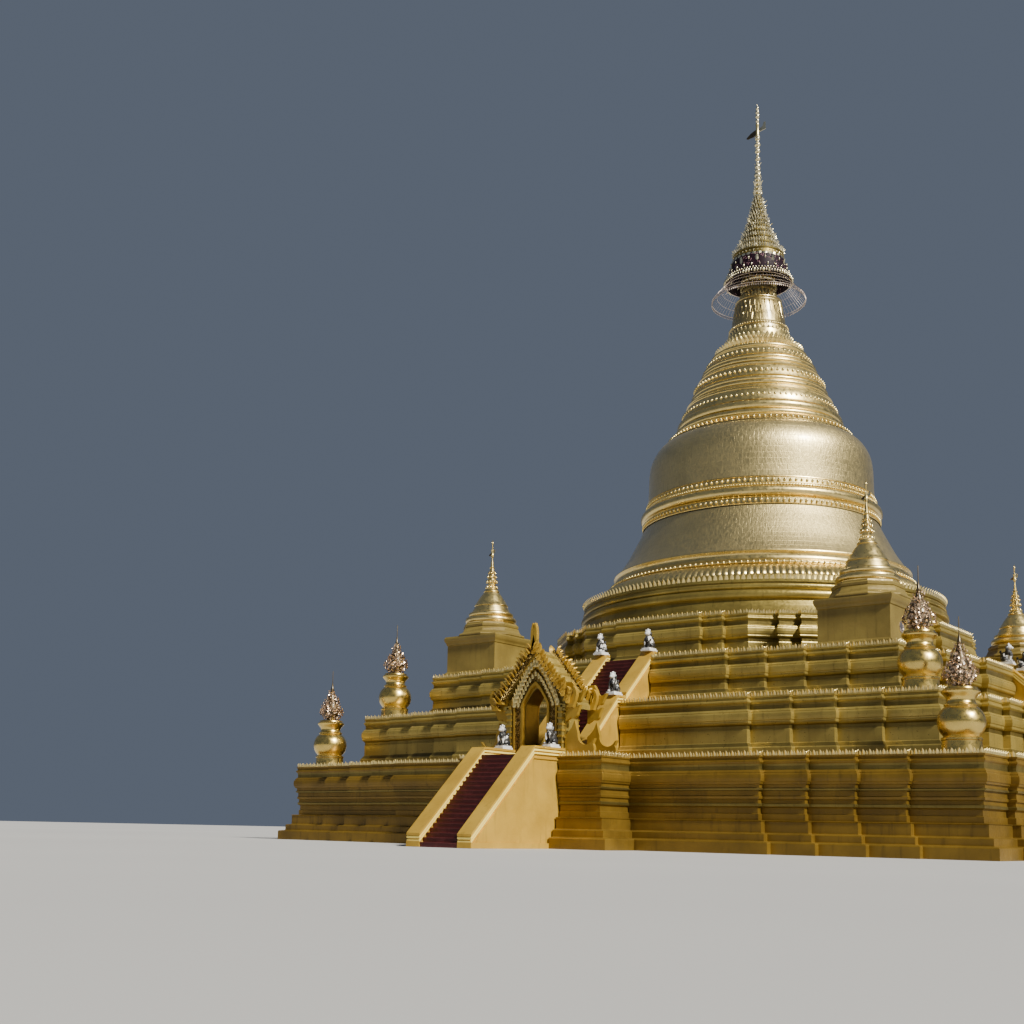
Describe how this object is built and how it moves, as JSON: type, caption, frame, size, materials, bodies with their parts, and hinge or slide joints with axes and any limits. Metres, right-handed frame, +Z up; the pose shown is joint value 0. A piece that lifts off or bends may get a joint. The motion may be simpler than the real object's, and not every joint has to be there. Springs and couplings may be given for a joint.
{
  "type": "gilded stupa, half-size scale model",
  "caption": "Gilded stupa with a bell dome and ringed spire on three stepped square terraces, with stairs, arched gates, corner stupas and flower jars.",
  "frame": {"origin": "centre of the building at ground level", "axes": "+Z up along the spire; -Y out of the front side, +X to the right along the front"},
  "size_m": [34.9, 34.9, 28.65],
  "materials": {
    "gilded_plaster": "gold paint on plastered brick, satin, a little weathered",
    "gilded_plates": "thin gilded plates, satin with bright highlights",
    "gilded_metalwork": "gilded openwork metal, bright",
    "stair_finish": "gold-painted copings with dark red painted treads"
  },
  "bodies": {
    "stupa": {"base_plinth": "gilded_plaster", "bell": "gilded_plates", "corner_stupa_1": "gilded_plaster", "corner_stupa_2": "gilded_plaster", "corner_stupa_3": "gilded_plaster", "corner_stupa_4": "gilded_plaster", "finial": "gilded_metalwork", "gate_1": "gilded_plaster", "gate_2": "gilded_plaster", "gate_3": "gilded_plaster", "gate_4": "gilded_plaster", "gate_roof_1": "gilded_plaster", "gate_roof_2": "gilded_plaster", "gate_roof_3": "gilded_plaster", "gate_roof_4": "gilded_plaster", "jar_1_1": "gilded_plaster", "jar_1_2": "gilded_plaster", "jar_1_3": "gilded_plaster", "jar_1_4": "gilded_plaster", "jar_2_1": "gilded_plaster", "jar_2_2": "gilded_plaster", "jar_2_3": "gilded_plaster", "jar_2_4": "gilded_plaster", "lotus_neck": "gilded_plates", "lower_stair_1": "stair_finish", "lower_stair_2": "stair_finish", "lower_stair_3": "stair_finish", "lower_stair_4": "stair_finish", "middle_stair_1": "stair_finish", "middle_stair_2": "stair_finish", "middle_stair_3": "stair_finish", "middle_stair_4": "stair_finish", "octagon_terrace": "gilded_plaster", "ring_cone": "gilded_plates", "round_base": "gilded_plaster", "terrace_1": "gilded_plaster", "terrace_2": "gilded_plaster", "terrace_3": "gilded_plaster", "umbrella": "gilded_metalwork", "umbrella_fringe": "gilded_metalwork", "upper_stair_1": "stair_finish", "upper_stair_2": "stair_finish", "upper_stair_3": "stair_finish", "upper_stair_4": "stair_finish"},
    "corner_vane_1": {"corner_vane_1": "gilded_metalwork"},
    "corner_vane_2": {"corner_vane_2": "gilded_metalwork"},
    "corner_vane_3": {"corner_vane_3": "gilded_metalwork"},
    "corner_vane_4": {"corner_vane_4": "gilded_metalwork"},
    "vane": {"vane": "gilded_metalwork"}
  },
  "joints": [
    {"name": "vane_swivel", "type": "hinge", "parent": "stupa", "child": "vane", "pos_m": [0, 0, 27.3], "axis": [0, 0, 1], "continuous": true},
    {"name": "corner_vane_1_swivel", "type": "hinge", "parent": "stupa", "child": "corner_vane_1", "pos_m": [7.025, -7.025, 10.25], "axis": [0, 0, 1], "continuous": true},
    {"name": "corner_vane_2_swivel", "type": "hinge", "parent": "stupa", "child": "corner_vane_2", "pos_m": [7.025, 7.025, 10.25], "axis": [0, 0, 1], "continuous": true},
    {"name": "corner_vane_3_swivel", "type": "hinge", "parent": "stupa", "child": "corner_vane_3", "pos_m": [-7.025, 7.025, 10.25], "axis": [0, 0, 1], "continuous": true},
    {"name": "corner_vane_4_swivel", "type": "hinge", "parent": "stupa", "child": "corner_vane_4", "pos_m": [-7.025, -7.025, 10.25], "axis": [0, 0, 1], "continuous": true}
  ]
}
